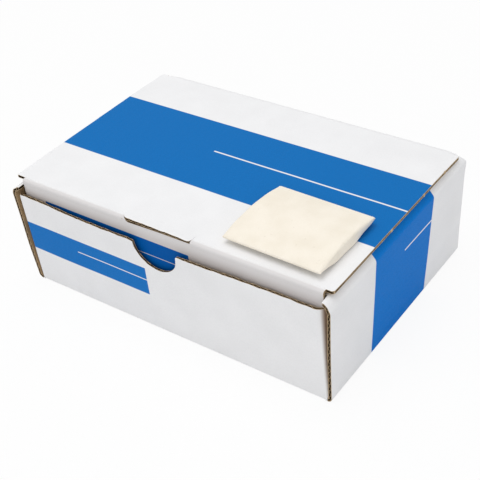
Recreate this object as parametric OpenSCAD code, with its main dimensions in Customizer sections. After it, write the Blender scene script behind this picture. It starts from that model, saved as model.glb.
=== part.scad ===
// Box of tailor's chalk: a folded corrugated carton with a tuck-in lid, the chalk
// tablets that stand in it in two rows, and one tablet laid out on the lid.
// Millimetres. X runs along the front, Y to the back, Z up. The origin is on the
// surface that the carton stands on, under its middle.

/* [Chalk tablet] */
// Length of a tablet along its two thin edges
tablet_l = 46.4; // [30:0.1:70]
// Width of a tablet from one thin edge to the other
tablet_w = 40.3; // [25:0.1:60]
// Thickness of a tablet at its crown
tablet_t = 6; // [4:0.1:9]
// Thickness left at the two thin edges
tablet_edge = 1.2; // [0.4:0.1:2.5]
// Tablets side by side in each row
tablets_in_row = 25; // [8:1:25]
// Air between the crowns of two neighbours
tablet_gap = 0.1; // [0.05:0.05:0.5]
// Air between the front row and the back row
row_gap = 0.5; // [0.2:0.1:5]
// Place in the back row, from the left, that the loose tablet came out of
free_place = 17; // [2:1:24]

/* [Loose tablet on the lid] */
// Right end of the tablet to the right edge of the lid
loose_from_right = 8.4; // [1:0.5:30]
// Front edge of the tablet to the front end of the lid
loose_from_front = 3.7; // [1:0.1:30]
// Turn of the tablet on the lid, seen from above
loose_turn = -1; // [-10:0.5:10]
// Air left under the tablet's crown
loose_seat = 0.1; // [0.05:0.05:0.3]

/* [Board] */
// Thickness of the corrugated board
board = 1.6; // [1.2:0.1:3]
// Thickness of each of the two flat facings of the board
facing = 0.25; // [0.15:0.05:0.4]
// Thickness of the paper that is folded into the board's flutes
core_paper = 0.25; // [0.15:0.05:0.4]
// Distance from one flute to the next
flute_pitch = 3.2; // [2.4:0.1:6]
// Depth to which the flutes stand open behind a raw edge
flute_depth = 3; // [1:0.5:6]
// Inner radius of a hard crease
crease_r = 0.5; // [0.2:0.1:2]

/* [Room in the carton] */
// Row end to the inner side wall
end_room = 0.85; // [0.3:0.05:10]
// Back row to the back wall
back_room = 0.5; // [0.3:0.1:10]
// Front row to the tuck flap
front_room = 14.6; // [8:0.1:40]
// Tablet tops to the underside of the lid
head_room = 12.1; // [8:0.1:40]

/* [Side walls] */
// Outward lean of each outer side wall, in degrees
side_lean = 1.3; // [0:0.1:2]
// Underside of the lid down to the top of the inner roll crease
roll_seat = 0.4; // [0.2:0.1:3]
// Slope of the roll, rising from its outer crease to its inner crease, in degrees
roll_slope = 26; // [0:1:35]
// Front ends of the inner side walls to the tuck flap
roll_front_gap = 0.8; // [0.7:0.1:3]
// Rear ends of the rolls and inner side walls to the back wall
roll_back_gap = 0.6; // [0.3:0.1:3]
// Outer side wall to the dust flap, at the foot
dust_outer_gap = 0.4; // [0.2:0.1:2]
// Dust flap to the inner side wall
dust_inner_gap = 0.2; // [0.1:0.1:1]
// Length of the locking tabs under each inner side wall
lock_l = 22; // [8:1:30]
// Distance of each locking tab from the middle of the wall
lock_offset = 27; // [18:1:30]
// Play round each locking tab in its slot in the base
lock_play = 0.3; // [0.1:0.1:1]
// Tip of each locking tab above the surface that the carton stands on
lock_recess = 0.3; // [0.1:0.1:0.8]

/* [Dust flaps] */
// Length of a dust flap, from the front or the back of the carton
dust_l = 33; // [15:1:45]
// Top of a dust flap below the top of the front wall
dust_drop = 1; // [0.5:0.1:5]
// Bottom of a dust flap above the base
dust_lift = 1.2; // [0.5:0.1:5]
// Slope cut from the free corners of a dust flap
dust_corner = 7; // [2:0.5:12]

/* [Front wall] */
// Top of the front wall below the underside of the lid
front_drop = 6.4; // [3:0.1:15]
// Radius of the thumb notch
notch_r = 11.4; // [7:0.1:16]
// Middle of the thumb notch, from the middle of the carton
notch_x = -2; // [-20:0.5:20]
// Radius of the notch's two shoulders
notch_shoulder = 0.8; // [0.5:0.1:4]

/* [Lid] */
// Outer radius of the soft crease behind the lid
lid_crease = 3.5; // [2.4:0.1:8]
// Lid beyond the ends of its two creases, on each side
lid_ear = 5; // [2:0.1:6]
// Radius of the lid's rear corners
lid_corner = 1.5; // [0.5:0.1:4]
// Width of the thumb tab in the lid's front edge
tab_w = 36.2; // [20:0.1:60]
// Radius of the thumb tab's front corners
tab_corner = 1.2; // [0.3:0.1:2]

/* [Tuck flap] */
// Length of the flap below the underside of the lid
flap_l = 28; // [14:0.5:40]
// Inner radius of the soft crease in front of the lid
flap_crease = 0.6; // [0.3:0.1:3]
// Front wall to the flap
flap_gap = 0.8; // [0.6:0.1:3]
// Radius of the flap's two lower corners
flap_corner = 7; // [2:0.5:12]
// Width of the cut between the flap and the thumb tab
tab_slit = 0.4; // [0.2:0.1:1.5]

/* [Hidden] */
// Widths, counted from the inside out
pitch = tablet_t + tablet_gap;
inner_w = tablets_in_row * pitch + 2 * end_room;
inner_wall_x = inner_w / 2;
dust_x = inner_wall_x + board + dust_inner_gap;
fold_x = dust_x + board;
carton_w = 2 * (fold_x + dust_outer_gap + board);
// Depths, counted from the back row forward and back
rows_d = 2 * tablet_l + row_gap;
inner_d = rows_d + back_room + front_room + board + flap_gap;
carton_d = inner_d + 2 * board;
back_y = carton_d / 2;
front_y = -carton_d / 2;
back_row_y = back_y - board - back_room - tablet_l / 2;
front_row_y = back_row_y - tablet_l - row_gap;
// Heights
lid_z = board + tablet_w + head_room;
lid_top = lid_z + board;
front_h = lid_z - front_drop;
roll_top = lid_z - roll_seat;
crease_out = crease_r + board;
core_h = board - 2 * facing;
// The lid's two ends and the creases between them
crease_l = 2 * (fold_x - crease_out);
lid_back = back_y - lid_crease;
hinge_z = lid_top - lid_crease;
flap_y = front_y + board + flap_gap;
lid_front = flap_y + flap_crease + board;
lid_w = crease_l + 2 * lid_ear;
// Flats in each crease and each rounded corner, and smoothness of the round cuts and
// of the tablets' crowns
crease_flats = 8;
corner_flats = 10;
round_fn = 48;
crown_fn = 160;
// How far a cutter runs past what it cuts
cut = 1;
chalk_colour = [0.97, 0.94, 0.86];
print_colour = [0.93, 0.93, 0.94];
kraft_colour = [0.62, 0.5, 0.36];

loose_place = tablets_in_row + free_place;
function tablet_name(i) = str("tablet_", i < 10 ? "0" : "", i);
row_tablets = [for (i = [1:2 * tablets_in_row]) if (i != loose_place) i];

// A fold is a list of [straight run, turn to the left after it, inner radius of that
// turn]. Its outline follows the inner face of the board, then comes back along the
// outer face, which lies one board thickness to the right.
function left_of(h) = [-sin(h), cos(h)];
function ahead_of(h) = [cos(h), sin(h)];
function stations(path, p, h, i = 0) =
    i == len(path) ? [] :
    let (run = path[i][0], turn = path[i][1], r = path[i][2],
         q = p + run * ahead_of(h), centre = q + r * left_of(h), h2 = h + turn,
         bend = turn == 0 ? [] : [for (k = [1:crease_flats])
             let (a = h + turn * k / crease_flats) [centre - r * left_of(a), a]])
    concat(run > 0 ? [[q, h]] : [], bend,
        stations(path, turn == 0 ? q : centre - r * left_of(h2), h2, i + 1));
function fold_outline(path, p, h) =
    let (s = concat([[p, h]], stations(path, p, h)), n = len(s))
    concat([for (k = [0:n - 1]) s[k][0]],
        [for (k = [n - 1:-1:0]) s[k][0] - board * left_of(s[k][1])]);

// Draws a profile in the YZ plane and runs it along X, centred
module along_x(l) rotate([90, 0, 90]) translate([0, 0, -l / 2]) linear_extrude(l) children();
// Draws a profile in the XZ plane and runs it from y0 to y1
module along_y(y0, y1) translate([0, y1, 0]) rotate([90, 0, 0]) linear_extrude(y1 - y0) children();
module both_sides() {
    children();
    mirror([1, 0, 0]) children();
}

// The air on both sides of the fluted core, cut across the flutes: a row of triangles
// along X in a board whose inner face is at y = 0 and whose outer face is below it
module flutes(run) {
    n = floor(run / flute_pitch);
    slope = norm([flute_pitch / 2, core_h]);
    foot = flute_pitch / 2 - core_paper * slope / (2 * core_h);
    tip = core_h / 2 - core_paper * slope / flute_pitch;
    for (k = [0.5:0.5:n - 0.5]) translate([(run - n * flute_pitch) / 2 + k * flute_pitch, -board / 2])
        mirror([0, k == floor(k) ? 1 : 0])
            polygon([[-foot, -core_h / 2], [foot, -core_h / 2], [0, tip]]);
}

// Chalk: two shallow crowns back to back, with thin edges and flat ends
module chalk_section() {
    rise = (tablet_t - tablet_edge) / 2;
    crown_r = (pow(tablet_w / 2, 2) + rise * rise) / (2 * rise);
    intersection() {
        translate([0, crown_r - tablet_t / 2]) circle(crown_r, $fn = crown_fn);
        translate([0, tablet_t / 2 - crown_r]) circle(crown_r, $fn = crown_fn);
        square([tablet_w, tablet_t], center = true);
    }
}

module tablet(i) {
    in_front = i <= tablets_in_row;
    place = in_front ? i : i - tablets_in_row;
    x = (place - (tablets_in_row + 1) / 2) * pitch;
    y = in_front ? front_row_y : back_row_y;
    color(chalk_colour) translate([x, y, board + tablet_w / 2]) rotate([90, 90, 0])
        linear_extrude(tablet_l, center = true) chalk_section();
}

module loose_tablet() {
    x = lid_w / 2 - loose_from_right - tablet_l / 2;
    y = lid_front + loose_from_front + tablet_w / 2;
    color(chalk_colour) translate([x, y, lid_top + loose_seat + tablet_t / 2]) rotate([0, 0, loose_turn])
        rotate([90, 0, 90]) linear_extrude(tablet_l, center = true) chalk_section();
}

// Base: slotted on each side for the locking tabs of the inner side walls
module lock_tabs(play) {
    for (side = [-1, 1]) translate([inner_wall_x - play, side * lock_offset - lock_l / 2 - play])
        square([board + 2 * play, lock_l + 2 * play]);
}

module base_panel() {
    color(kraft_colour) difference() {
        linear_extrude(board) square([carton_w - 2 * crease_out, carton_d - 2 * crease_out], center = true);
        translate([0, 0, -cut]) linear_extrude(board + 2 * cut) both_sides() lock_tabs(lock_play);
    }
}

// Front and back walls: a crease at the foot and a fold at each end that turns into
// the dust flaps
module end_wall(h) {
    wall_path = [[0, 90, crease_r], [crease_l, 90, crease_r]];
    foot_path = [[0, 90, crease_r], [crease_r, 0, 0]];
    translate([0, 0, crease_out]) linear_extrude(h - crease_out)
        polygon(fold_outline(wall_path, [-fold_x + board, front_y + crease_out], -90));
    along_x(crease_l) mirror([1, 0])
        polygon(fold_outline(foot_path, [-front_y - crease_out, board], 0));
}

module thumb_notch() {
    along_y(front_y - cut, front_y + board + cut) translate([notch_x, front_h - notch_shoulder]) {
        circle(notch_r, $fn = round_fn);
        translate([-notch_r, 0]) square([2 * notch_r, notch_shoulder + cut]);
        both_sides() difference() {
            translate([notch_r - cut, 0]) square([notch_shoulder + cut, notch_shoulder + cut]);
            translate([notch_r + notch_shoulder, 0]) circle(notch_shoulder, $fn = round_fn);
        }
    }
}

module front_wall() {
    color(print_colour) difference() {
        end_wall(front_h);
        thumb_notch();
        intersection() {
            translate([-crease_l / 2, front_y + board, 0]) linear_extrude(front_h + cut) flutes(crease_l);
            translate([0, 0, -flute_depth]) union() {
                thumb_notch();
                translate([-crease_l / 2, front_y, front_h]) cube([crease_l, board, flute_depth + cut]);
            }
        }
    }
}

module back_wall() {
    color(print_colour) mirror([0, 1, 0]) end_wall(hinge_z);
}

module dust_flap() {
    top = front_h - dust_drop;
    bottom = board + dust_lift;
    start = front_y + crease_out;
    end = front_y + dust_l;
    translate([dust_x, 0, 0]) rotate([90, 0, 90]) linear_extrude(board) polygon([
        [start, bottom], [end - dust_corner / 2, bottom], [end, bottom + dust_corner / 2],
        [end, top - dust_corner], [end - dust_corner / 2, top], [start, top]]);
}

module dust_flaps() {
    color(kraft_colour) both_sides() {
        dust_flap();
        mirror([0, 1, 0]) dust_flap();
    }
}

// Side walls, drawn on the right: outer wall, roll over the top, inner wall. The middles
// of the three creases give the two straight runs between them.
wall_turn = 90 - side_lean;
roll_heading = 180 - roll_slope;
foot_middle = [carton_w / 2 - crease_out, crease_out];
inner_middle = [inner_wall_x + crease_out, roll_top - crease_out];
span = inner_middle - foot_middle;
wall_run = (span[0] * sin(roll_heading) - span[1] * cos(roll_heading)) / sin(roll_heading - wall_turn);
roll_run = (span[1] * cos(wall_turn) - span[0] * sin(wall_turn)) / sin(roll_heading - wall_turn);
outer_middle = foot_middle + wall_run * ahead_of(wall_turn);
roll_back = back_y - board - roll_back_gap;
inner_front = flap_y + board + roll_front_gap;

module outer_wall() {
    side_path = [[0, wall_turn, crease_r], [wall_run, roll_heading - wall_turn, crease_r], [roll_run, 0, 0]];
    difference() {
        along_y(front_y, back_y) polygon(fold_outline(side_path, foot_middle - [0, crease_r], 0));
        translate([0, roll_back, outer_middle[1]]) cube([carton_w, board + cut + roll_back_gap, lid_top]);
        for (y = [front_y - cut, back_y - flute_depth]) along_y(y, y + flute_depth + cut)
            translate(foot_middle - crease_r * left_of(wall_turn)) rotate(wall_turn) flutes(wall_run);
    }
}

module inner_wall() {
    inner_path = [[0, 90 + roll_slope, crease_r], [inner_middle[1] - board, 0, 0]];
    inner_start = inner_middle - crease_r * left_of(roll_heading);
    along_y(inner_front, roll_back) polygon(fold_outline(inner_path, inner_start, roll_heading));
    translate([0, 0, lock_recess]) linear_extrude(board - lock_recess) lock_tabs(0);
}

module right_outer_wall() {
    color(print_colour) outer_wall();
}

module left_outer_wall() {
    color(print_colour) mirror([1, 0, 0]) outer_wall();
}

module right_inner_wall() {
    color(print_colour) inner_wall();
}

module left_inner_wall() {
    color(print_colour) mirror([1, 0, 0]) inner_wall();
}

// A plate from y = 0 to y = h, with its two far corners rounded
function corner(middle, r, from) = [for (k = [0:corner_flats]) middle + r * ahead_of(from + 90 * k / corner_flats)];
module round_ended(w, h, r) {
    polygon(concat([[-w / 2, 0], [w / 2, 0]],
        corner([w / 2 - r, h - r], r, 0),
        corner([r - w / 2, h - r], r, 90)));
}

// Where the lid's flutes end at a raw edge: in front of the thumb tab and at both ends
// of each ear
module lid_raw_ends() {
    translate([-tab_w / 2, flap_y - cut]) square([tab_w, flute_depth + cut]);
    both_sides() for (y = [lid_front - cut, lid_back - flute_depth])
        translate([crease_l / 2, y]) square([lid_ear, flute_depth + cut]);
}

// Lid: a flat panel that overhangs the rolls, a thumb tab in its front edge, and the
// soft crease down to the back wall
module lid_panel() {
    crease_path = [[0, 90, lid_crease - board], [lid_corner, 0, 0]];
    color(print_colour) {
        along_x(crease_l) polygon(fold_outline(crease_path, [back_y - board, hinge_z], 90));
        difference() {
            translate([0, 0, lid_z]) linear_extrude(board) {
                translate([0, lid_front]) round_ended(lid_w, lid_back - lid_front, lid_corner);
                translate([0, lid_front + tab_corner]) mirror([0, 1])
                    round_ended(tab_w, lid_front + tab_corner - flap_y, tab_corner);
            }
            intersection() {
                along_y(flap_y - cut, lid_back + cut) translate([-lid_w / 2, lid_top]) flutes(lid_w);
                translate([0, 0, lid_z]) linear_extrude(board) lid_raw_ends();
            }
        }
    }
}

// Tuck flap: hangs from the soft crease in front of the lid, and is cut round the tab
module tuck_flap() {
    flap_path = [[0, 90, flap_crease], [flap_l - flap_crease, 0, 0]];
    color(print_colour) difference() {
        intersection() {
            along_x(crease_l) polygon(fold_outline(flap_path, [lid_front, lid_z], 180));
            along_y(front_y, lid_front + cut) translate([0, lid_top]) mirror([0, 1])
                round_ended(crease_l, flap_l + board, flap_corner);
        }
        translate([-tab_w / 2 - tab_slit, front_y, lid_z - tab_slit])
            cube([tab_w + 2 * tab_slit, lid_front - front_y + cut, board + tab_slit + cut]);
        translate([flap_corner - crease_l / 2, flap_y + board, lid_z - flap_l - cut])
            linear_extrude(cut + flute_depth) flutes(crease_l - 2 * flap_corner);
    }
}

base_panel();
front_wall();
back_wall();
left_outer_wall();
right_outer_wall();
left_inner_wall();
right_inner_wall();
dust_flaps();
lid_panel();
tuck_flap();
for (i = row_tablets) tablet(i);
loose_tablet();
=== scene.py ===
import math

import bpy
import numpy as np
from mathutils import Matrix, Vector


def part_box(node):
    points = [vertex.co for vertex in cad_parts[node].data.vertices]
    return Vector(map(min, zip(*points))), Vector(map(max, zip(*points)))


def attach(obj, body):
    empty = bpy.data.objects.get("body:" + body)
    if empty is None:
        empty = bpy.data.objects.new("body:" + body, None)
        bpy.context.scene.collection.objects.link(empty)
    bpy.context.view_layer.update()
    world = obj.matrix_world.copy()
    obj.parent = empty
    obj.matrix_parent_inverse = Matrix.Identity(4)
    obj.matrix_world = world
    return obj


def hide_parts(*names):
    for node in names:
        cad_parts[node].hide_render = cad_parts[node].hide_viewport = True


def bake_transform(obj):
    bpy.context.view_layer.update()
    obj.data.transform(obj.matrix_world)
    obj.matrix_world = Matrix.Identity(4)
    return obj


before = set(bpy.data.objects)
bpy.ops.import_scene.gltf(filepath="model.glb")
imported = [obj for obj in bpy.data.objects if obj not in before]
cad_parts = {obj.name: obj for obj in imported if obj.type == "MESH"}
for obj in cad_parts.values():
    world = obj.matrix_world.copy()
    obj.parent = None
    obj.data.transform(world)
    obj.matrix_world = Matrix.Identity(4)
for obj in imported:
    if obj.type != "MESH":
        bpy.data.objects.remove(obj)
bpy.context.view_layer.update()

# Sizes below are in millimetres, in the frame's axes; meshes are scaled once, at the end.
MM = 0.001
BOARD, FACING, PAPER, PITCH = 1.6, 0.22, 0.17, 3.5
BENDS = 10


# ---------------------------------------------------------------- helpers: materials
def linear(r, g, b):
    """A colour given in sRGB, 0 to 255."""
    return [((c / 255 + 0.055) / 1.055) ** 2.4 if c > 10 else c / 255 / 12.92 for c in (r, g, b)] + [1.0]


def scaled(colour, k):
    return [c * k for c in colour[:3]] + [1]


class Shader:
    """A material's nodes. Its coordinates are the object's own, in metres."""

    def __init__(self, name, roughness, specular):
        self.mat = bpy.data.materials.new(name)
        self.mat.use_nodes = True
        self.tree = self.mat.node_tree
        self.tree.nodes.clear()
        self.out = self.tree.nodes.new("ShaderNodeOutputMaterial")
        self.bsdf = self.tree.nodes.new("ShaderNodeBsdfPrincipled")
        self.bsdf.inputs["Roughness"].default_value = roughness
        self.bsdf.inputs["Specular IOR Level"].default_value = specular
        self.link(self.bsdf.outputs[0], self.out.inputs["Surface"])
        self.coords = self.tree.nodes.new("ShaderNodeTexCoord").outputs["Object"]
        split = self.tree.nodes.new("ShaderNodeSeparateXYZ")
        self.link(self.coords, split.inputs[0])
        self.axis = {"x": split.outputs[0], "y": split.outputs[1], "z": split.outputs[2]}

    def link(self, a, b):
        self.tree.links.new(a, b)

    def put(self, value, socket):
        if hasattr(value, "is_output"):
            self.link(value, socket)
        else:
            socket.default_value = value

    def math(self, op, a, b=0.0):
        n = self.tree.nodes.new("ShaderNodeMath")
        n.operation = op
        self.put(a, n.inputs[0])
        self.put(b, n.inputs[1])
        return n.outputs[0]

    def ramp(self, value, a, b, lo=0.0, hi=1.0):
        n = self.tree.nodes.new("ShaderNodeMapRange")
        n.interpolation_type = "SMOOTHSTEP"
        for socket, v in zip(n.inputs[:5], (value, a, b, lo, hi)):
            self.put(v, socket)
        return n.outputs[0]

    def noise(self, size, detail=3.0, rough=0.55, stretch=(1, 1, 1), seed=0.0):
        m = self.tree.nodes.new("ShaderNodeMapping")
        self.link(self.coords, m.inputs["Vector"])
        m.inputs["Scale"].default_value = [s / (size * MM) for s in stretch]
        m.inputs["Location"].default_value = (seed, seed * 1.7, seed * 0.6)
        n = self.tree.nodes.new("ShaderNodeTexNoise")
        self.link(m.outputs[0], n.inputs["Vector"])
        n.inputs["Scale"].default_value = 1.0
        n.inputs["Detail"].default_value = detail
        n.inputs["Roughness"].default_value = rough
        return n.outputs["Fac"]

    def mix(self, fac, a, b):
        n = self.tree.nodes.new("ShaderNodeMix")
        n.data_type = "RGBA"
        self.put(fac, n.inputs["Factor"])
        self.put(a, n.inputs[6])
        self.put(b, n.inputs[7])
        return n.outputs[2]

    def between(self, value, lo, hi, soft=0.12):
        """A mask of the band from lo to hi, in millimetres."""
        up = self.ramp(value, (lo - soft) * MM, (lo + soft) * MM)
        down = self.ramp(value, (hi - soft) * MM, (hi + soft) * MM, 1.0, 0.0)
        return self.both(up, down)

    def both(self, a, b):
        return self.math("MULTIPLY", a, b)

    def finish(self, colour, bump=None, depth=0.05, roughness=None):
        self.put(colour, self.bsdf.inputs["Base Color"])
        if roughness is not None:
            self.put(roughness, self.bsdf.inputs["Roughness"])
        if bump is not None:
            b = self.tree.nodes.new("ShaderNodeBump")
            b.inputs["Distance"].default_value = depth * MM
            b.inputs["Strength"].default_value = 1.0
            self.put(bump, b.inputs["Height"])
            self.link(b.outputs[0], self.bsdf.inputs["Normal"])
        return self.mat


WHITE = linear(242, 242, 243)


def printed(name, blue=None, lines=None, flutes="x", ink=None, wear_and_painted_shade=None, grey=(203, 197, 195), shine=0.08):
    """Coated white board. blue and lines take the shader and give the masks of the blue print and of the thin white
    lines in it; flutes names the axis across the flutes; the mask after ink gives where shade is painted in grey."""
    s = Shader(name, 0.5, shine)
    grain = s.noise(0.55, 4, 0.6, seed=3)
    cloud = s.noise(14, 2, 0.5, seed=9)
    tint = s.ramp(s.math("ADD", s.math("MULTIPLY", grain, 0.6), s.math("MULTIPLY", cloud, 0.4)), 0.3, 0.7)
    paper = s.mix(tint, scaled(WHITE, 0.94), WHITE)
    # The mask after ink paints shade: it mixes the paper towards the grey colour where it is given.
    if wear_and_painted_shade:
        paper = s.mix(wear_and_painted_shade(s), paper, linear(*grey))
    colour = paper
    if blue:
        ink = linear(*ink)
        patchy = s.ramp(s.noise(0.4, 3, 0.6, seed=5), 0.35, 0.7)
        ink = s.mix(patchy, scaled(ink, 0.93), scaled(ink, 1.08))
        mask = s.math("MULTIPLY", blue(s), s.math("SUBTRACT", 1.0, lines(s)))
        colour = s.mix(mask, paper, ink)
    ribs = s.math("SINE", s.math("MULTIPLY", s.axis[flutes], 2 * math.pi / (PITCH * MM)))
    height = s.math("ADD", s.math("MULTIPLY", ribs, 0.22), s.math("MULTIPLY", grain, 0.5))
    height = s.math("ADD", height, s.math("MULTIPLY", cloud, 2.5))
    return s.finish(colour, height, 0.03, s.ramp(grain, 0.2, 0.8, 0.42, 0.6))


def kraft(name, flutes="x", base=(176, 146, 108), deep=1.0):
    """Bare brown board; deep below 1 darkens it towards near black, as painted shade in the flutes' hollows."""
    s = Shader(name, 0.85, 0.2)
    stretch = {"x": (1, 0.12, 0.12), "y": (0.12, 1, 0.12)}[flutes]
    fibre = s.noise(0.5, 4, 0.65, stretch, 1)
    speck = s.noise(0.35, 2, 0.5, seed=7)
    cloud = s.noise(9, 2, seed=4)
    paper = linear(*base)
    colour = s.mix(s.ramp(fibre, 0.3, 0.72), scaled(paper, 0.62), paper)
    colour = s.mix(s.math("MULTIPLY", s.ramp(speck, 0.66, 0.74), 0.6), colour, linear(82, 62, 40))
    colour = s.mix(s.math("MULTIPLY", s.ramp(cloud, 0.35, 0.7), 0.25), colour, linear(200, 172, 134))
    if deep < 1:
        # Painted shade in the flutes' hollows: the colour is mixed towards near black.
        colour = s.mix(1 - deep, colour, linear(30, 22, 13))
    return s.finish(colour, s.math("ADD", fibre, s.math("MULTIPLY", speck, 0.5)), 0.05)


def chalk(name):
    s = Shader(name, 0.92, 0.15)
    fine = s.noise(0.35, 5, 0.7, seed=2)
    wide = s.noise(11, 3, 0.5, seed=6)
    pores = s.ramp(s.noise(0.9, 2, 0.4, seed=8), 0.28, 0.36)
    colour = s.mix(s.ramp(wide, 0.3, 0.7), linear(242, 234, 219), linear(249, 242, 229))
    colour = s.mix(s.math("MULTIPLY", s.ramp(fine, 0.35, 0.62, 1.0, 0.0), 0.35), colour, linear(237, 227, 208))
    specks = s.ramp(s.noise(1.6, 2, 0.5, seed=14), 0.70, 0.74)
    colour = s.mix(s.math("MULTIPLY", specks, 0.18), colour, linear(188, 172, 148))
    height = s.math("ADD", s.math("MULTIPLY", pores, 0.35), s.math("MULTIPLY", wide, 1.2))
    height = s.math("ADD", s.math("MULTIPLY", fine, 0.6), height)
    return s.finish(colour, height, 0.07)


# ---------------------------------------------------------------- helpers: board
def left_of(h):
    return np.stack([-np.sin(h), np.cos(h)], -1)


def ahead_of(h):
    return np.stack([np.cos(h), np.sin(h)], -1)


class Fold:
    """The path of a folded board in a plane: straight runs, then turns to the left about an inner radius."""

    def __init__(self, p, heading, steps):
        self.parts, self.breaks = [], [0.0]
        u, h, p = 0.0, math.radians(heading), np.array(p, float)
        for run, turn, r in steps:
            if run > 0:
                self.parts.append((u, u + run, p, h, 0.0, 0.0))
                u, p = u + run, p + run * ahead_of(h)
                self.breaks.append(u)
            if turn:
                a = math.radians(turn)
                centre, length = p + r * left_of(h), a * (r + BOARD / 2)
                self.parts.append((u, u + length, centre, h, a, r))
                self.breaks += list(np.linspace(u, u + length, BENDS + 1)[1:])
                h, u = h + a, u + length
                p = centre - r * left_of(h)
        self.length = u

    def marks(self):
        """Where each run and turn starts, and the path's end."""
        return [part[0] for part in self.parts] + [self.length]

    def at(self, u, t):
        """Points at u along the path and t out from the inner face."""
        out = np.zeros(np.broadcast(u, t).shape + (2,))
        u, t = np.broadcast_arrays(u, t)
        last = len(self.parts) - 1
        for i, (a, b, p, h, turn, r) in enumerate(self.parts):
            m = (u >= a if i else np.ones(u.shape, bool)) & (u <= b if i < last else True)
            if turn:
                angle = h + turn * (u[m] - a) / (b - a)
                out[m] = p - (r + t[m])[:, None] * left_of(angle)
            else:
                out[m] = p + (u[m] - a)[:, None] * ahead_of(np.array(h)) - t[m][:, None] * left_of(np.array(h))
        return out


def along(path, marks, u):
    """The place on path that answers to u on the path that marks come from."""
    return np.interp(u, marks, path.marks())


def ease(d, reach=6.0):
    """0 at an edge where boards meet, 1 beyond reach."""
    x = np.clip(d / reach, 0, 1)
    return x * x * (3 - 2 * x)


def sines(u, v, seed, wave=45.0, n=5):
    """A smooth wander between about -1 and 1."""
    rng = np.random.default_rng(seed)
    total = 0.0
    for _ in range(n):
        a = rng.uniform(0, 2 * math.pi)
        k = 2 * math.pi / (wave * rng.uniform(0.5, 1.6))
        p = rng.uniform(0, 2 * math.pi)
        total = total + np.sin(k * (np.cos(a) * u + np.sin(a) * v) + p)
    return total / n * 1.6


def level(value):
    return lambda x: np.full(np.shape(x), float(value))


def columns(lo, hi, step, *extra):
    """Grid columns from lo to hi, with extra ones."""
    base = np.linspace(lo, hi, max(2, int(round((hi - lo) / step)) + 1))
    cols = np.unique(np.round(np.concatenate([base] + [np.atleast_1d(e) for e in extra]), 5))
    return cols[(cols > lo - 1e-4) & (cols < hi + 1e-4)]


def grid_faces(n, m):
    """Faces of a slab between two grids of n by m points, one after the other: the first grid's, and those round
    the four edges."""
    i = (np.arange(n - 1)[:, None] * m + np.arange(m - 1)[None, :]).ravel()
    quad = np.stack([i, i + m, i + m + 1, i + 1], 1)
    other = n * m
    j = np.arange(n - 1) * m
    e0 = np.stack([j, j + other, j + m + other, j + m], 1)
    j = j + m - 1
    e1 = np.stack([j, j + m, j + m + other, j + other], 1)
    j = np.arange(m - 1)
    e2 = np.stack([j, j + 1, j + 1 + other, j + other], 1)
    j = j + (n - 1) * m
    e3 = np.stack([j, j + other, j + 1 + other, j + 1], 1)
    return quad, np.concatenate([e0, e1, e2, e3])


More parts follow.
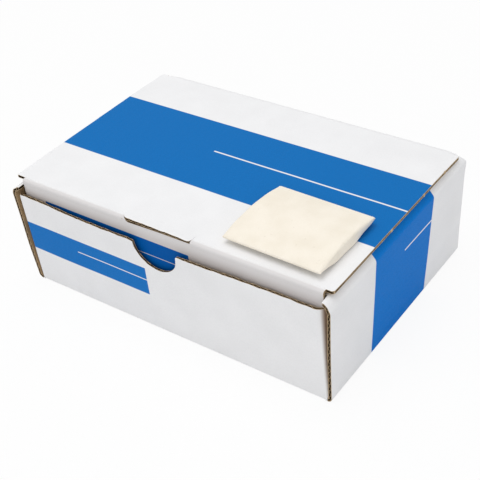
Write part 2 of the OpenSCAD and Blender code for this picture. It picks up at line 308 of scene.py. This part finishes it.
class Panel:
    """A piece of corrugated board. where(u, v, t) places it, with u across the flutes, v along them and t out from
    the inner face. raw names its cut edges, of u0, u1, v0 and v1. Face kinds: 0 outside, 1 inside, 2 cut, 3 core."""

    def __init__(self, name, where, u, v0, v1, raw=(), nv=14, crush=0.14, crush_u=0.34, seed=1, plies=True):
        self.name, self.where, self.raw, self.seed = name, where, raw, seed
        self.crush = crush if callable(crush) else level(crush)
        self.crush_u = crush_u
        self.v0 = v0 if callable(v0) else level(v0)
        self.v1 = v1 if callable(v1) else level(v1)
        self.verts, self.faces, self.mats, self.count = [], [], [], 0
        u = np.asarray(u, float)
        self.lo, self.hi = u[0], u[-1]
        s = 0.5 - 0.5 * np.cos(np.linspace(0, math.pi, nv + 1))
        if not plies:
            self.sheet(u, s, level(0), level(BOARD), (1, 0))
            return
        self.sheet(u, s, level(BOARD - FACING), level(BOARD), (3, 0))
        self.sheet(u, s, level(0), level(FACING), (1, 3))
        # The fluted ply, as far in from each cut edge as can be seen
        fine = columns(self.lo, self.hi, 0.36, u)
        reach = min(1.0, 7.0 / (self.v1(u).max() - self.v0(u).min()))
        if "v0" in raw:
            self.ply(fine, np.linspace(0, reach, 5))
        if "v1" in raw:
            self.ply(fine, np.linspace(1 - reach, 1, 5))
        if "u0" in raw:
            self.ply(columns(self.lo, self.lo + 1.2 * PITCH, 0.36), s)
        if "u1" in raw:
            self.ply(columns(self.hi - 1.2 * PITCH, self.hi, 0.36), s)
        # A cut along the flutes shows the flank of one of them
        low, high = level(FACING * 0.9), level(BOARD - FACING * 0.9)
        for edge, a, b in (("u0", self.lo + 0.12, self.lo + 0.3), ("u1", self.hi - 0.3, self.hi - 0.12)):
            if edge in raw:
                self.sheet(np.array([a, b]), s, low, high, (2, 2))

    def ply(self, u, s):
        amp = (BOARD - 2 * FACING - PAPER) / 2
        k = 2 * math.pi / PITCH

        def half(x):
            return PAPER / 2 * np.sqrt(1 + (amp * k * np.cos(k * x)) ** 2)

        def mid(x):
            return BOARD / 2 + amp * np.sin(k * x)

        self.sheet(u, s, lambda x: np.maximum(mid(x) - half(x), FACING * 0.8),
                   lambda x: np.minimum(mid(x) + half(x), BOARD - FACING * 0.8), (3, 3))

    def squeeze(self, u, v, t):
        """The cut pinches the board together along its raw edges."""
        c = np.zeros(u.shape)
        crush = self.crush(u)
        for edge, away, amount in (("v0", v - self.v0(u), crush), ("v1", self.v1(u) - v, crush),
                                   ("u0", u - self.lo, self.crush_u), ("u1", self.hi - u, self.crush_u)):
            if edge in self.raw:
                c = np.maximum(c, amount * np.exp(-np.abs(away) / 0.9) * (1 + 0.5 * sines(u, v, self.seed, 9.0)))
        return BOARD / 2 + (t - BOARD / 2) * (1 - np.minimum(c, 0.95))

    def sheet(self, u, s, low, high, kinds):
        """A slab of the board from low to high, which give t at each column."""
        n, m = len(u), len(s)
        uu, ss = np.meshgrid(u, s, indexing="ij")
        a, b = self.v0(uu), self.v1(uu)
        vv = a + ss * (b - a)
        pts = np.concatenate([self.where(uu, vv, self.squeeze(uu, vv, f(uu))).reshape(-1, 3) for f in (low, high)])
        quad, edges = grid_faces(n, m)
        faces = np.concatenate([quad[:, ::-1], quad + n * m, edges])
        mats = np.full(len(faces), 2)
        mats[:len(quad)] = kinds[0]
        mats[len(quad): 2 * len(quad)] = kinds[1]
        # All faces are turned round if the sum below is negative. The edges are wound against the broad faces, so
        # the sum isn't the slab's volume, and one of the two kinds ends up facing in. Which one differs from piece
        # to piece; report.md lists them under "Known fault".
        tri = pts[faces]
        total = np.einsum("ij,ij->i", np.cross(tri[:, 0], tri[:, 1]), tri[:, 2])
        total = total + np.einsum("ij,ij->i", np.cross(tri[:, 0], tri[:, 2]), tri[:, 3])
        if total.sum() < 0:
            faces = faces[:, ::-1]
        self.verts.append(pts)
        self.faces.append(faces + self.count)
        self.mats.append(mats)
        self.count += len(pts)

    def add(self, other):
        """Takes in another panel of the same piece."""
        self.verts += other.verts
        self.faces += [f + self.count for f in other.faces]
        self.mats += other.mats
        self.count += other.count

    def build(self, outside, inside, slot):
        verts, faces, mats = (np.concatenate(part) for part in (self.verts, self.faces, self.mats))
        obj = mesh_object(self.name, verts, faces, [outside, inside, M_CUT, M_CORE], mats)
        return obj


def mesh_object(name, pts, faces, materials, mats=None, sharp=32):
    mesh = bpy.data.meshes.new(name)
    mesh.from_pydata((np.asarray(pts) * MM).tolist(), [], [[int(i) for i in f] for f in faces])
    for m in materials:
        mesh.materials.append(m)
    if mats is not None:
        mesh.polygons.foreach_set("material_index", np.asarray(mats, np.int32))
    mesh.polygons.foreach_set("use_smooth", np.ones(len(mesh.polygons), bool))
    mesh.set_sharp_from_angle(angle=math.radians(sharp))
    obj = bpy.data.objects.new(name, mesh)
    bpy.context.scene.collection.objects.link(obj)
    return obj


# ---------------------------------------------------------------- materials
FAR = 200  # a band that runs on to the board's edge
FRONT_PRINT_END, FLAP_PRINT_END = -9.4, 14.4


def lid_blue(s):
    return s.between(s.axis["y"], -21.7, 26.5)


def lid_line(s):
    return s.both(s.between(s.axis["y"], 4.7, 5.5), s.between(s.axis["x"], -15.5, FAR))


def front_blue(s):
    return s.both(s.between(s.axis["z"], 19.0, 33.8), s.between(s.axis["x"], -FAR, FRONT_PRINT_END))


def front_line(s):
    return s.both(s.between(s.axis["z"], 26.95, 27.45, 0.08), s.between(s.axis["x"], -50, FRONT_PRINT_END))


def flap_blue(s):
    return s.both(s.between(s.axis["z"], 33.0, 48.1), s.between(s.axis["x"], -66.5, FLAP_PRINT_END))


def flap_line(s):
    return s.both(s.between(s.axis["z"], 40.0, 40.35, 0.08), s.between(s.axis["x"], -40, FLAP_PRINT_END))


def side_blue(s):
    # The two ends of the band lean a little, and not alike
    front = s.math("SUBTRACT", s.axis["y"], s.math("MULTIPLY", s.axis["z"], 0.05))
    rear = s.math("SUBTRACT", s.axis["y"], s.math("MULTIPLY", s.axis["z"], 0.09))
    return s.both(s.between(front, -25.0, FAR), s.between(rear, -FAR, 22.3))


def side_line(s):
    return s.both(s.between(s.axis["z"], 37.8, 38.5), s.between(s.axis["y"], 2.0, FAR))


def front_fold_painted_shade(s):
    """Painted shade, brownish, on the fold at the front wall's right end, which leans with height; in metres, as the
    next one is.
    """
    near = s.math("ADD", s.axis["x"], s.math("MULTIPLY", s.axis["z"], 0.034))
    return s.both(s.ramp(near, 0.0797, 0.0815), s.ramp(s.axis["z"], 0.0, 0.02, 0.35, 1.0))


# Painted shade on the tuck flap: grey on its fold below the lid's front edge, and darker downwards towards the front
# wall's top edge.
def flap_painted_shade(s):
    fold = s.ramp(s.axis["y"], -0.0524, -0.0537, 0.0, 0.54)
    return s.math("ADD", fold, s.ramp(s.axis["z"], 0.0535, 0.0485, 0.0, 0.4))


M_LID = printed("printed_lid", lid_blue, lid_line, "x", (12, 110, 184))
# The front wall's right fold is mixed towards a brownish grey: painted shade of the gap by the side wall.
M_FRONT = printed("printed_front", front_blue, front_line, "x", (16, 115, 194), front_fold_painted_shade, (142, 120, 102))
# The flap's blue is darker than on the other panels: painted shade of its place behind the front wall and under the
# lid.
M_FLAP = printed("printed_flap", flap_blue, flap_line, "x", (1, 86, 164), flap_painted_shade, shine=0.03)
M_SIDE = printed("printed_side", side_blue, side_line, "z", (8, 118, 205), shine=0.06)
M_PLAIN = printed("printed_plain")
M_KRAFT_X = kraft("kraft_x", "x")
M_KRAFT_Y = kraft("kraft_y", "y")
M_CUT = kraft("kraft_cut", "x", (206, 180, 144))
M_CORE = kraft("kraft_core", "x", (104, 80, 52), 0.4)
M_CHALK = chalk("chalk")

# ---------------------------------------------------------------- carton: side walls
FRONT, BACK = -57.0, 57.0
FOLD_X, CREASE_L, CREASE_OUT, CREASE_R = 80.5, 156.8, 2.1, 0.5
LID_Z, FRONT_H = 54.0, 47.6
REAR_R, REAR_SAG = 2.9, 0.5
REAR_Z = LID_Z - REAR_SAG - REAR_R
# The middles of the foot crease and of the crease at the inner wall's top, as x and z
FOOT, INNER = (80.4, 2.1), (79.2, 51.5)
WALL_TURN, ROLL_HEADING = 88.7, 132.0
ROLL_BACK, INNER_FRONT = 54.8, -52.2


def side_fold(r):
    """Outer wall, roll and inner wall, with r the inner radius of the crease between the first two."""
    span = np.array(INNER) - np.array(FOOT)
    a, b = math.radians(WALL_TURN), math.radians(ROLL_HEADING)
    run = (span[0] * math.sin(b) - span[1] * math.cos(b)) / math.sin(b - a)
    roll = (span[1] * math.cos(a) - span[0] * math.sin(a)) / math.sin(b - a)
    saved = (r - CREASE_R) * math.tan((b - a) / 2)
    return Fold((FOOT[0], FOOT[1] - CREASE_R), 0, [
        [0, WALL_TURN, CREASE_R],
        [run - saved, ROLL_HEADING - WALL_TURN, r],
        [roll - saved, 270 - ROLL_HEADING, CREASE_R],
        [INNER[1] - BOARD, 0, 0]])


side_path, side_soft = side_fold(0.6), side_fold(2.4)
side_marks = side_path.marks()
wall_from, roll_start, roll_from, roll_end, inner_from = side_marks[1:6]
roll_hook = roll_end + 0.4 * (inner_from - roll_end)


def side_where(sign):
    def where(u, v, t):
        soft = (1 - ease(v - FRONT, 70))[..., None]
        q = (1 - soft) * side_path.at(u, t) + soft * side_soft.at(along(side_soft, side_marks, u), t)
        # The front end of the roll has sunk
        sunk = (1 - ease(v - FRONT, 14)) * ease(u - roll_start + 3, 5)
        q = q + np.stack([0.8 * sunk * ease(u - roll_start, 3), -1.0 * sunk], -1)
        # Its rear end stands higher
        risen = (1 - ease(BACK - v, 22)) * ease(u - roll_start + 8, 8)
        q = q + np.stack([0.3 * risen, 0.6 * risen], -1)
        flat = ease(u - wall_from, 12) * ease(roll_start - u, 12)
        bow = 0.12 * flat * sines(u, v, 31 + sign)
        if sign < 0:
            # The left wall stands out at its front end, and comes in at its foot
            out = np.interp(q[..., 1], [0, 20, 46, 60], [-0.6, 0.8, 1.3, 1.3])
            bow = bow + out * ease(roll_end - u, 3.0) * ease(10 - v, 60)
        return np.stack([sign * (q[..., 0] + bow), v, q[..., 1]], -1)
    return where


def outer_back(u):
    """The roll is cut off short of the back wall, on a slant; the hook only closes the gap before the inner wall."""
    slant = np.interp(u, [roll_start + 0.6, roll_end], [BACK, ROLL_BACK])
    return np.where(u < roll_end + 0.01, slant, INNER_FRONT)


for sign, side in ((1, "right"), (-1, "left")):
    outer_u = columns(0, roll_hook, 1.2, side_path.breaks, roll_end + 0.02)
    outer = Panel(side + "_outer_wall", side_where(sign), outer_u, FRONT, outer_back, ("v0", "v1"), 24,
                  crush=0.04, seed=5 + sign)
    obj = outer.build(M_SIDE, M_KRAFT_Y, "printed_board")
    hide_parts(side + "_outer_wall")
    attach(obj, "carton")
    inner_u = columns(roll_end, side_path.length, 1.6, side_path.breaks)
    inner = Panel(side + "_inner_wall", side_where(sign), inner_u, INNER_FRONT, ROLL_BACK, ("v0", "v1"), 18,
                  seed=9 + sign)
    obj = inner.build(M_PLAIN, M_KRAFT_Y, "kraft_board")
    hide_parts(side + "_inner_wall")
    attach(obj, "carton")

# ---------------------------------------------------------------- carton: front and back walls
# Each has two dust flaps, and a foot crease that joins it to the base
DUST_L, DUST_TOP, DUST_FOOT, DUST_CORNER = 33.0, 46.6, 2.8, 3.5
NOTCH_X, NOTCH_R, NOTCH_Z, NOTCH_DEPTH = 1.75, 11.65, 46.8, 11.4


def round_wall(r):
    """Dust flap, wall and dust flap, with r the inner radius of the folds between them."""
    return Fold((-FOLD_X + BOARD, FRONT + DUST_L), -90, [
        [DUST_L - BOARD - r, 90, r],
        [2 * (FOLD_X - BOARD - r), 90, r],
        [DUST_L - BOARD - r, 0, 0]])


wall_path, tight_path, loose_path = round_wall(CREASE_R), round_wall(-0.2), round_wall(3.2)
wall_marks = wall_path.marks()
fold_a, u_left, u_right, fold_b = wall_marks[1:5]


def wall_where(sign):
    def where(u, v, t):
        face = ease(u - u_left, 14) * ease(u_right - u, 14) * ease(v - CREASE_OUT, 10)
        bow = 0.1 * face * sines(u, v, 41 + sign)
        q = wall_path.at(u, t)
        if sign > 0:
            # Use has bent the front wall's edge outwards along its middle, opened its right fold towards the top,
            # and pushed the left one outwards
            bow = bow - 0.7 * ease(u - u_left, 50) * ease(u_right - u, 70) * ease(v - 34, 14)
            high = np.clip(v / FRONT_H, 0, 1)
            loose = (high ** 1.4 * (u > (u_left + u_right) / 2))[..., None]
            tight = tight_path.at(along(tight_path, wall_marks, u), t)
            q = (1 - loose) * tight + loose * loose_path.at(along(loose_path, wall_marks, u), t)
            pushed = np.where(q[..., 0] > 0, 0.35 * (1 - high), 0.5 - 1.3 * high)
            q[..., 0] += pushed * ease(np.abs(q[..., 0]) - 50, 25)
        return np.stack([q[..., 0], sign * (q[..., 1] + bow), v], -1)
    return where


def notch_top(u):
    """The front wall's upper edge: a little higher at its ends, lower along its middle from wear, with the notch."""
    off = u - u_left - CREASE_L / 2 + NOTCH_X
    d = np.abs(off)
    wear_and_painted_shade = 1.1 * ease(u - u_left, 40) * ease(u_right - u, 70)
    edge = FRONT_H + 0.7 - wear_and_painted_shade - 0.45 * ease(u - u_right + 40, 30)
    edge = edge + 0.1 * sines(u, 0 * u, 77, 5.0) + 0.06 * sines(u, 0 * u, 78, 1.7)
    deep = NOTCH_Z - NOTCH_DEPTH / NOTCH_R * np.sqrt(np.clip(NOTCH_R ** 2 - d ** 2, 0, None))
    shoulder = np.where(off < 0, 2.3, 1.5)
    bend = NOTCH_Z + (edge - NOTCH_Z) * np.sqrt(np.clip(1 - ((NOTCH_R + shoulder - d) / shoulder) ** 2, 0, None))
    return np.where(d < NOTCH_R, deep, np.where(d < NOTCH_R + shoulder, bend, edge))


def wall_foot(u):
    """The folds reach the floor; the straight run ends where the foot crease starts."""
    return np.where((u < u_left - 0.01) | (u > u_right + 0.01), 0.05, CREASE_OUT)


def back_top(u):
    return np.where((u > u_left - 0.01) & (u < u_right + 0.01), REAR_Z, REAR_Z - 1.5)


def dust_top(u):
    d = np.minimum(u, wall_path.length - u)
    return DUST_TOP - np.interp(d, [0, DUST_CORNER], [7.0, 0.0])


def dust_foot(u):
    d = np.minimum(u, wall_path.length - u)
    return DUST_FOOT + np.interp(d, [0, DUST_CORNER], [3.5, 0.0])


notch_u = u_left + CREASE_L / 2 - NOTCH_X
round_u = NOTCH_R * np.sin(np.linspace(-math.pi / 2, math.pi / 2, 49))
shoulder_u = NOTCH_R + np.array([0.02, 0.1, 0.3, 0.6, 1.0, 1.5, 1.9, 2.3])
fold_u = (wall_path.breaks, u_left - 0.02, u_right + 0.02)
front_u = columns(fold_a, fold_b, 1.2, *fold_u, notch_u + round_u, notch_u + shoulder_u, notch_u - shoulder_u)
front = Panel("front_wall", wall_where(1), front_u, wall_foot, notch_top, ("v1",), 18, crush=0.28, seed=12)
obj = front.build(M_FRONT, M_KRAFT_X, "printed_board")
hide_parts("front_wall")
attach(obj, "carton")
back_u = columns(fold_a, fold_b, 1.6, *fold_u)
back = Panel("back_wall", wall_where(-1), back_u, wall_foot, back_top, (), 16, seed=13)
obj = back.build(M_PLAIN, M_KRAFT_X, "printed_board")
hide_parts("back_wall")
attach(obj, "carton")

dust_flaps = []
for sign in (1, -1):
    for a, b, end in ((0, fold_a, "u0"), (fold_b, wall_path.length, "u1")):
        dust_u = columns(a, b, 1.6, DUST_CORNER, wall_path.length - DUST_CORNER)
        dust_flaps.append(Panel("dust_flaps", wall_where(sign), dust_u, dust_foot, dust_top, (end, "v0", "v1"), 14,
                                seed=60 + sign))
for flap in dust_flaps[1:]:
    dust_flaps[0].add(flap)
obj = dust_flaps[0].build(M_PLAIN, M_KRAFT_X, "kraft_board")
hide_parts("dust_flaps")
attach(obj, "carton")


def pressed(r, size=CREASE_OUT):
    """A crease pressed sharp: outer and inner face from one board to the other, in the crease's own corner. Both ends
    reach a little into the boards."""
    def corner(r, end, lap):
        a = np.linspace(0, math.pi / 2, 7)
        turn = np.stack([r - r * np.cos(a), r - r * np.sin(a)], 1)
        return np.concatenate([[[lap, end + 0.3], [0, end - 0.1]], turn, [[end - 0.1, 0], [end + 0.3, lap]]])
    return corner(r, size, 0.03), corner(0.3, size - BOARD, -0.03) + BOARD


def across(outer, inner, v, t):
    """The two coordinates of a pressed crease, v counting its points."""
    k, t = np.arange(len(outer)), t / BOARD
    return [(1 - t) * np.interp(v, k, inner[:, i]) + t * np.interp(v, k, outer[:, i]) for i in (0, 1)]


foot_out, foot_in = pressed(0.9)


def foot_where(sign):
    def where(u, v, t):
        y, z = across(foot_out, foot_in, v, t)
        return np.stack([u, sign * (FRONT + y), z], -1)
    return where


for sign, name, a, b in ((1, "front", -78.6, 79.45), (-1, "back", -78.4, 78.4)):
    strip = Panel(name + "_foot_crease", foot_where(sign), columns(a, b, 3.2), 0, len(foot_out) - 1, (), 14,
                  plies=False)
    obj = strip.build(M_PLAIN, M_KRAFT_X, "printed_board")
    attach(obj, "carton")

# ---------------------------------------------------------------- lid
lid_front, lid_back, flap_y = -52.4, BACK - BOARD - REAR_R, -54.6
LID_L, LID_R, EAR_BACK = -84.1, 82.4, 80.3
TAB_L, TAB_R = -20.3, 16.05


def ear_round(x, r):
    """How far the lid's ends are rounded off at x."""
    d = np.minimum(x - LID_L, LID_R - x)
    return np.where(d < r, r - np.sqrt(np.clip(r * r - (r - d) ** 2, 0, None)), 0.0)


def lid_v0(x):
    """The lid's front edge, with the thumb tab."""
    at = [TAB_L, TAB_L + 0.5, TAB_L + 1.1, TAB_L + 1.8, TAB_L + 2.8, TAB_R - 1.2, TAB_R - 0.4, TAB_R, TAB_R + 0.01]
    to = [lid_front, -53.0, -53.7, -54.25, flap_y, flap_y, flap_y + 0.25, flap_y + 1.0, lid_front]
    return np.minimum(np.interp(x, at, to), lid_front) + np.where(x > 0, ear_round(x, 1.3), ear_round(x, 0.4))


def lid_v1(x):
    return lid_back - ear_round(x, 1.5) + np.where(np.abs(x) > EAR_BACK, 0.6, 0.0)


def lid_crush(x):
    at = [-78.6, -78.4, TAB_L - 0.1, TAB_L, TAB_R, TAB_R + 0.1, 78.4, 78.6]
    return np.interp(x, at, [0.1, 0, 0, 0.1, 0.5, 0, 0, 0.1])


def lid_where(u, v, t):
    inner = ease(v - lid_front, 8) * ease(lid_back - v, 8)
    bow = -0.1 * inner * (1 + sines(u, v, 55)) * 0.5
    # The tab stays straight where the lid beside it is drawn down by its crease
    bow = bow + 0.9 * ease(-50.2 - v, 6.5) ** 0.8 * ((u > TAB_L) & (u < TAB_R + 0.005))
    bow = bow - REAR_SAG * (1 - ease(lid_back - v, 20))
    return np.stack([u, v, LID_Z + t + bow], -1)


turn = 1.5 - 1.5 * np.cos(np.linspace(0, math.pi / 2, 9))
ear_u = [-EAR_BACK - 0.01, -EAR_BACK + 0.01, -78.4, 78.4, EAR_BACK - 0.01, EAR_BACK + 0.01]
tab_u = [TAB_L + np.linspace(0, 7, 25), TAB_R - 1.3 + np.linspace(0, 1.31, 14), TAB_R + 0.01]
lid_u = columns(LID_L, LID_R, 1.6, ear_u, *tab_u, LID_L + turn, LID_R - turn)
lid = Panel("lid_panel", lid_where, lid_u, lid_v0, lid_v1, ("u0", "u1", "v0"), 34, crush=lid_crush, crush_u=0.1,
            seed=21)
obj = lid.build(M_LID, M_KRAFT_X, "printed_board")
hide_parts("lid_panel")
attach(obj, "lid")

# Small tufts where the blank was torn out of the sheet, on the lid's right edge
tuft, tuft_faces = [], []
rng = np.random.default_rng(5)
n = 7
a = np.linspace(0, math.pi, n)
z = np.array([LID_Z + 0.25, LID_Z + 0.9, LID_Z + 1.45])
for y in (-8.3, 19.4, 38.3):
    out = 0.62 * np.sin(a) * np.array([0.7, 1.0, 0.75])[:, None] * rng.uniform(0.7, 1.2, (3, n))
    ring = np.stack([LID_R - 0.1 + out, np.tile(y + 0.75 * np.cos(a), (3, 1)), np.tile(z[:, None], (1, n))], -1)
    low = 3 * n * len(tuft)
    mid, top = low + n, low + 2 * n
    tuft.append(ring.reshape(-1, 3))
    for k in (low, mid):
        tuft_faces += [[k + i + n, k + n + i + 1, k + i + 1, k + i] for i in range(n - 1)]
    tuft_faces += [[low + i for i in range(n)], [top + i for i in range(n)][::-1]]
    tuft_faces += [[top, top + n - 1, top - 1, mid], [mid, top - 1, mid - 1, low]]
obj = mesh_object("lid_edge_tufts", np.concatenate(tuft), tuft_faces, [M_CUT], sharp=40)
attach(obj, "lid")

rear_path = Fold((BACK - BOARD, REAR_Z), 90, [[0, 90, REAR_R]])


def rear_where(u, v, t):
    q = rear_path.at(v, t)
    return np.stack([u, q[..., 0], q[..., 1]], -1)


rear = Panel("lid_rear_crease", rear_where, columns(-79.0, 80.2, 3.2), 0, rear_path.length, ("u0", "u1"), 14,
             crush_u=0.8)
obj = rear.build(M_PLAIN, M_KRAFT_X, "printed_board")
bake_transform(obj)

# ---------------------------------------------------------------- flap
FLAP_TOP, FLAP_END, FLAP_CORNER = 53.4, 26.0, 7
lip_out, lip_in = pressed(1.2, 2.2)


def crease_where(u, v, t):
    z, y = across(lip_out, lip_in, v, t)
    return np.stack([u, flap_y + y, LID_Z + BOARD - z], -1)


def crease_v0(x):
    """0 where the crease is whole, else where the cut round the tab leaves it."""
    edge_y = np.where((x > TAB_L) & (x < TAB_R), lid_v0(x) - flap_y - 0.15, 9)
    return np.interp(edge_y, lip_out[8::-1, 1], np.arange(8, -1, -1.0))


for name, a, b, cut in (("left", -79.0, TAB_L + 3, ("u0", "u1")), ("right", TAB_R + 0.01, 79.0, ("u1",))):
    strip = Panel("flap_crease_" + name, crease_where, columns(a, b, 1.0, TAB_L + np.linspace(0, 3, 13)), crease_v0,
                  len(lip_out) - 1, cut, 12, crush_u=0.1)
    obj = strip.build(M_FLAP, M_KRAFT_X, "printed_board")
    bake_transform(obj)


def flap_where(u, v, t):
    bow = 0.08 * ease(v, 8) * sines(u, v, 61)
    wide = 1 + 0.6 / 78.4 * (1 - ease(v - 4, 5))
    return np.stack([u * wide, -53.0 - t + bow, FLAP_TOP - v], -1)


def flap_v0(x):
    """The flap's upper edge, which is raised under the tab."""
    raised = np.interp(x, [TAB_L, TAB_L + 3, TAB_R - 16, TAB_R], [-1.6, -0.5, -1.2, -1.35])
    return np.where((x > TAB_L) & (x < TAB_R + 0.01), raised, 0.0)


def flap_v1(x):
    d = np.abs(x) - (CREASE_L / 2 - FLAP_CORNER)
    corner = np.where(d > 0, np.sqrt(np.clip(FLAP_CORNER ** 2 - d ** 2, 0, None)), FLAP_CORNER)
    return FLAP_TOP - FLAP_END - FLAP_CORNER + corner


turns = FLAP_CORNER * np.sin(np.linspace(0, math.pi / 2, 12))
flap_u = columns(-CREASE_L / 2, CREASE_L / 2, 1.6, CREASE_L / 2 - FLAP_CORNER + turns,
                 FLAP_CORNER - CREASE_L / 2 - turns, [TAB_L - 0.01, TAB_L + 0.01, TAB_R, TAB_R + 0.02])
flap = Panel("tuck_flap", flap_where, flap_u, flap_v0, flap_v1, ("u0", "u1", "v1"), 20, seed=25)
obj = flap.build(M_FLAP, M_KRAFT_X, "printed_board")
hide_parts("tuck_flap")
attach(obj, "flap")

# ---------------------------------------------------------------- inside of the carton
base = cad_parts["base_panel"]
base.data.materials.clear()
base.data.materials.append(M_KRAFT_X)

# ---------------------------------------------------------------- chalk
TABLET_L, TABLET_W, TABLET_T, TABLET_EDGE = 46.4, 40.3, 6.0, 1.2
LOOSE_TURN = -1


def chalk_block(na, nb, round_edge, seed, wear):
    """A tablet lying flat: length along x, width along y, crowned on both faces, with edges rounded by wear."""
    def spread(n, half):
        s = np.linspace(-1, 1, n)
        return np.sign(s) * (1 - (1 - np.abs(s)) ** 1.6) * half

    def dip(d, r):
        x = np.clip(1 - d / r, 0, 1)
        return r * (1 - np.sqrt(np.clip(1 - x * x, 0, None)))

    a, b = np.meshgrid(spread(na, TABLET_L / 2), spread(nb, TABLET_W / 2), indexing="ij")
    thick = TABLET_T / 2 - (TABLET_T - TABLET_EDGE) / 2 * (b / (TABLET_W / 2)) ** 2
    r = round_edge * (1 + wear * sines(a * 3, b * 3, seed, 30))
    from_end, from_side = TABLET_L / 2 - np.abs(a), TABLET_W / 2 - np.abs(b)
    half = np.maximum(thick - dip(from_end, r) - dip(from_side, np.minimum(r, thick * 0.8)), 0.05)
    pts = np.concatenate([np.stack([a, b, half * k], -1).reshape(-1, 3) for k in (1, -1)])
    quad, edges = grid_faces(na, nb)
    return pts, np.concatenate([quad, (quad + na * nb)[:, ::-1], edges])


def middle(name):
    lo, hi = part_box(name)
    return (np.array(lo) + np.array(hi)) / 2 / MM


pts, faces = chalk_block(130, 120, 1.1, 3, 0.35)
c, s = math.cos(math.radians(LOOSE_TURN)), math.sin(math.radians(LOOSE_TURN))
turned = np.stack([pts[:, 0] * c - pts[:, 1] * s, pts[:, 0] * s + pts[:, 1] * c, pts[:, 2]], 1)
obj = mesh_object("loose_tablet_chalk", turned + middle("loose_tablet"), faces, [M_CHALK], sharp=50)
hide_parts("loose_tablet")
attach(obj, "loose_tablet")

for name in sorted(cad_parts):
    if not name.startswith("tablet_"):
        continue
    pts, faces = chalk_block(26, 28, 0.5, 100 + int(name[-2:]), 0.3)
    obj = mesh_object(name + "_chalk", pts[:, [2, 0, 1]] + middle(name), faces, [M_CHALK], sharp=50)
    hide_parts(name)
    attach(obj, "carton")

# ---------------------------------------------------------------- floor, world, lights
bpy.ops.mesh.primitive_plane_add(size=6, location=(0, 0, -0.0002))
floor = bpy.context.object
floor.name = "floor"
f = Shader("floor", 0.9, 0.0)
floor.data.materials.append(f.finish([0.9, 0.9, 0.9, 1]))
# The camera sees the floor nearly as white as the background, with its shadows weak
seen = f.tree.nodes.new("ShaderNodeEmission")
half = f.tree.nodes.new("ShaderNodeMixShader")
f.put(f.math("MULTIPLY", f.tree.nodes.new("ShaderNodeLightPath").outputs["Is Camera Ray"], 0.9), half.inputs[0])
f.link(f.bsdf.outputs[0], half.inputs[1])
f.link(seen.outputs[0], half.inputs[2])
f.link(half.outputs[0], f.out.inputs["Surface"])

world = bpy.data.worlds.new("studio")
bpy.context.scene.world = world
world.use_nodes = True
wt = world.node_tree
wt.nodes.clear()
w_out = wt.nodes.new("ShaderNodeOutputWorld")
w_mix = wt.nodes.new("ShaderNodeMixShader")
w_light = wt.nodes.new("ShaderNodeBackground")
w_seen = wt.nodes.new("ShaderNodeBackground")
w_light.inputs[0].default_value, w_light.inputs[1].default_value = (0.985, 0.99, 1.0, 1), 0.6
w_seen.inputs[0].default_value, w_seen.inputs[1].default_value = (1, 1, 1, 1), 1.0
path = wt.nodes.new("ShaderNodeLightPath")
w_seen_by = wt.nodes.new("ShaderNodeMath")
w_seen_by.operation = "MAXIMUM"
for a, b in ((path.outputs["Is Camera Ray"], w_seen_by.inputs[0]),
             (path.outputs["Is Transmission Ray"], w_seen_by.inputs[1]),
             (w_seen_by.outputs[0], w_mix.inputs[0]), (w_light.outputs[0], w_mix.inputs[1]),
             (w_seen.outputs[0], w_mix.inputs[2]), (w_mix.outputs[0], w_out.inputs[0])):
    wt.links.new(a, b)


def axes(back):
    """Right and up for something that looks against back, held level."""
    right = np.cross([0, 0, 1], back)
    right /= np.linalg.norm(right)
    return right, np.cross(back, right)


def placed(right, up, back, place):
    m = Matrix(np.column_stack([right, up, back]).tolist()).to_4x4()
    m.translation = place
    return m


def area(name, place, aim, size, power, colour=(1, 1, 1)):
    data = bpy.data.lights.new(name, "AREA")
    data.shape, data.size, data.size_y, data.energy, data.color = "RECTANGLE", size, size * 0.8, power, colour
    o = bpy.data.objects.new(name, data)
    bpy.context.scene.collection.objects.link(o)
    away = np.array(place, float) - np.array(aim, float)
    back = away / np.linalg.norm(away)
    o.matrix_world = placed(*axes(back), back, place)


area("key", (-0.12, -0.06, 1.0), (0, 0, 0.03), 0.9, 4.6, (1.0, 0.995, 0.985))
area("fill", (0.72, -0.8, 0.45), (0, 0, 0.03), 0.8, 1.7)

# ---------------------------------------------------------------- camera, fitted to the photo
PHOTO, FOCAL, CENTRE_X, CENTRE_Y = 480, 987.01, 251.05, 284.76
SENSOR = 36
az, el, roll = math.radians(38.804), math.radians(39.768), math.radians(-6.111)
back_v = np.array([math.sin(az) * math.cos(el), -math.cos(az) * math.cos(el), math.sin(el)])
right_v, up_v = axes(back_v)
cam = bpy.data.cameras.new("camera")
cam.sensor_width = SENSOR
cam.lens = FOCAL * SENSOR / PHOTO
cam.shift_x = -(CENTRE_X - PHOTO / 2) / PHOTO
cam.shift_y = (CENTRE_Y - PHOTO / 2) / PHOTO
cam.clip_start, cam.clip_end = 0.01, 10
cam_obj = bpy.data.objects.new("camera", cam)
bpy.context.scene.collection.objects.link(cam_obj)
cam_obj.matrix_world = placed(math.cos(roll) * right_v + math.sin(roll) * up_v,
                              -math.sin(roll) * right_v + math.cos(roll) * up_v,
                              back_v, (0.232524, -0.287230, 0.293878))
bpy.context.scene.camera = cam_obj
bpy.context.scene.view_settings.view_transform = "Standard"
